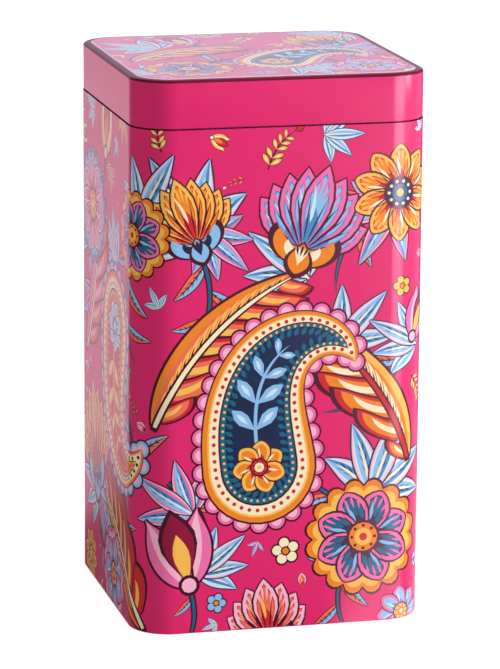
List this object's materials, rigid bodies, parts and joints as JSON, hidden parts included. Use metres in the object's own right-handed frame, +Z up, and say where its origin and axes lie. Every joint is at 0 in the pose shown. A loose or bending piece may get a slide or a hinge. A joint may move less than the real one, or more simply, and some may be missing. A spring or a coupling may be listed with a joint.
{
  "type": "metal lunch box",
  "caption": "Square upright printed tin with rounded corners, a flush slip lid with a raised panel, and a press-in inner lid with a knob.",
  "frame": {"origin": "middle of the base, on the surface that the tin stands on", "axes": "+Z up along the tin's height, -Y towards the front face, +X to the right as seen from the front"},
  "size_m": [0.08, 0.08, 0.15],
  "materials": {
    "printed_body": "printed, satin varnish",
    "printed_lid": "printed, satin varnish",
    "bare_tinplate": "bright tinplate",
    "polished_steel": "polished",
    "rivet_steel": "plain"
  },
  "bodies": {
    "caddy": {"body_wall": "printed_body", "base_panel": "bare_tinplate", "neck_ring": "bare_tinplate"},
    "outer_lid": {"lid": "printed_lid"},
    "inner_lid": {"inner_lid_pan": "bare_tinplate", "inner_lid_knob": "polished_steel", "knob_rivet": "rivet_steel", "rivet_washer": "rivet_steel"}
  },
  "joints": [
    {"name": "lid_lift", "type": "slide", "parent": "caddy", "child": "outer_lid", "axis": [0, 0, 1], "range_m": [0, 0.026]},
    {"name": "inner_lid_lift", "type": "slide", "parent": "caddy", "child": "inner_lid", "axis": [0, 0, 1], "range_m": [0, 0.013]}
  ],
  "couplings": [
    {"joint": "inner_lid_lift", "follows": "lid_lift", "ratio": 0.5}
  ]
}
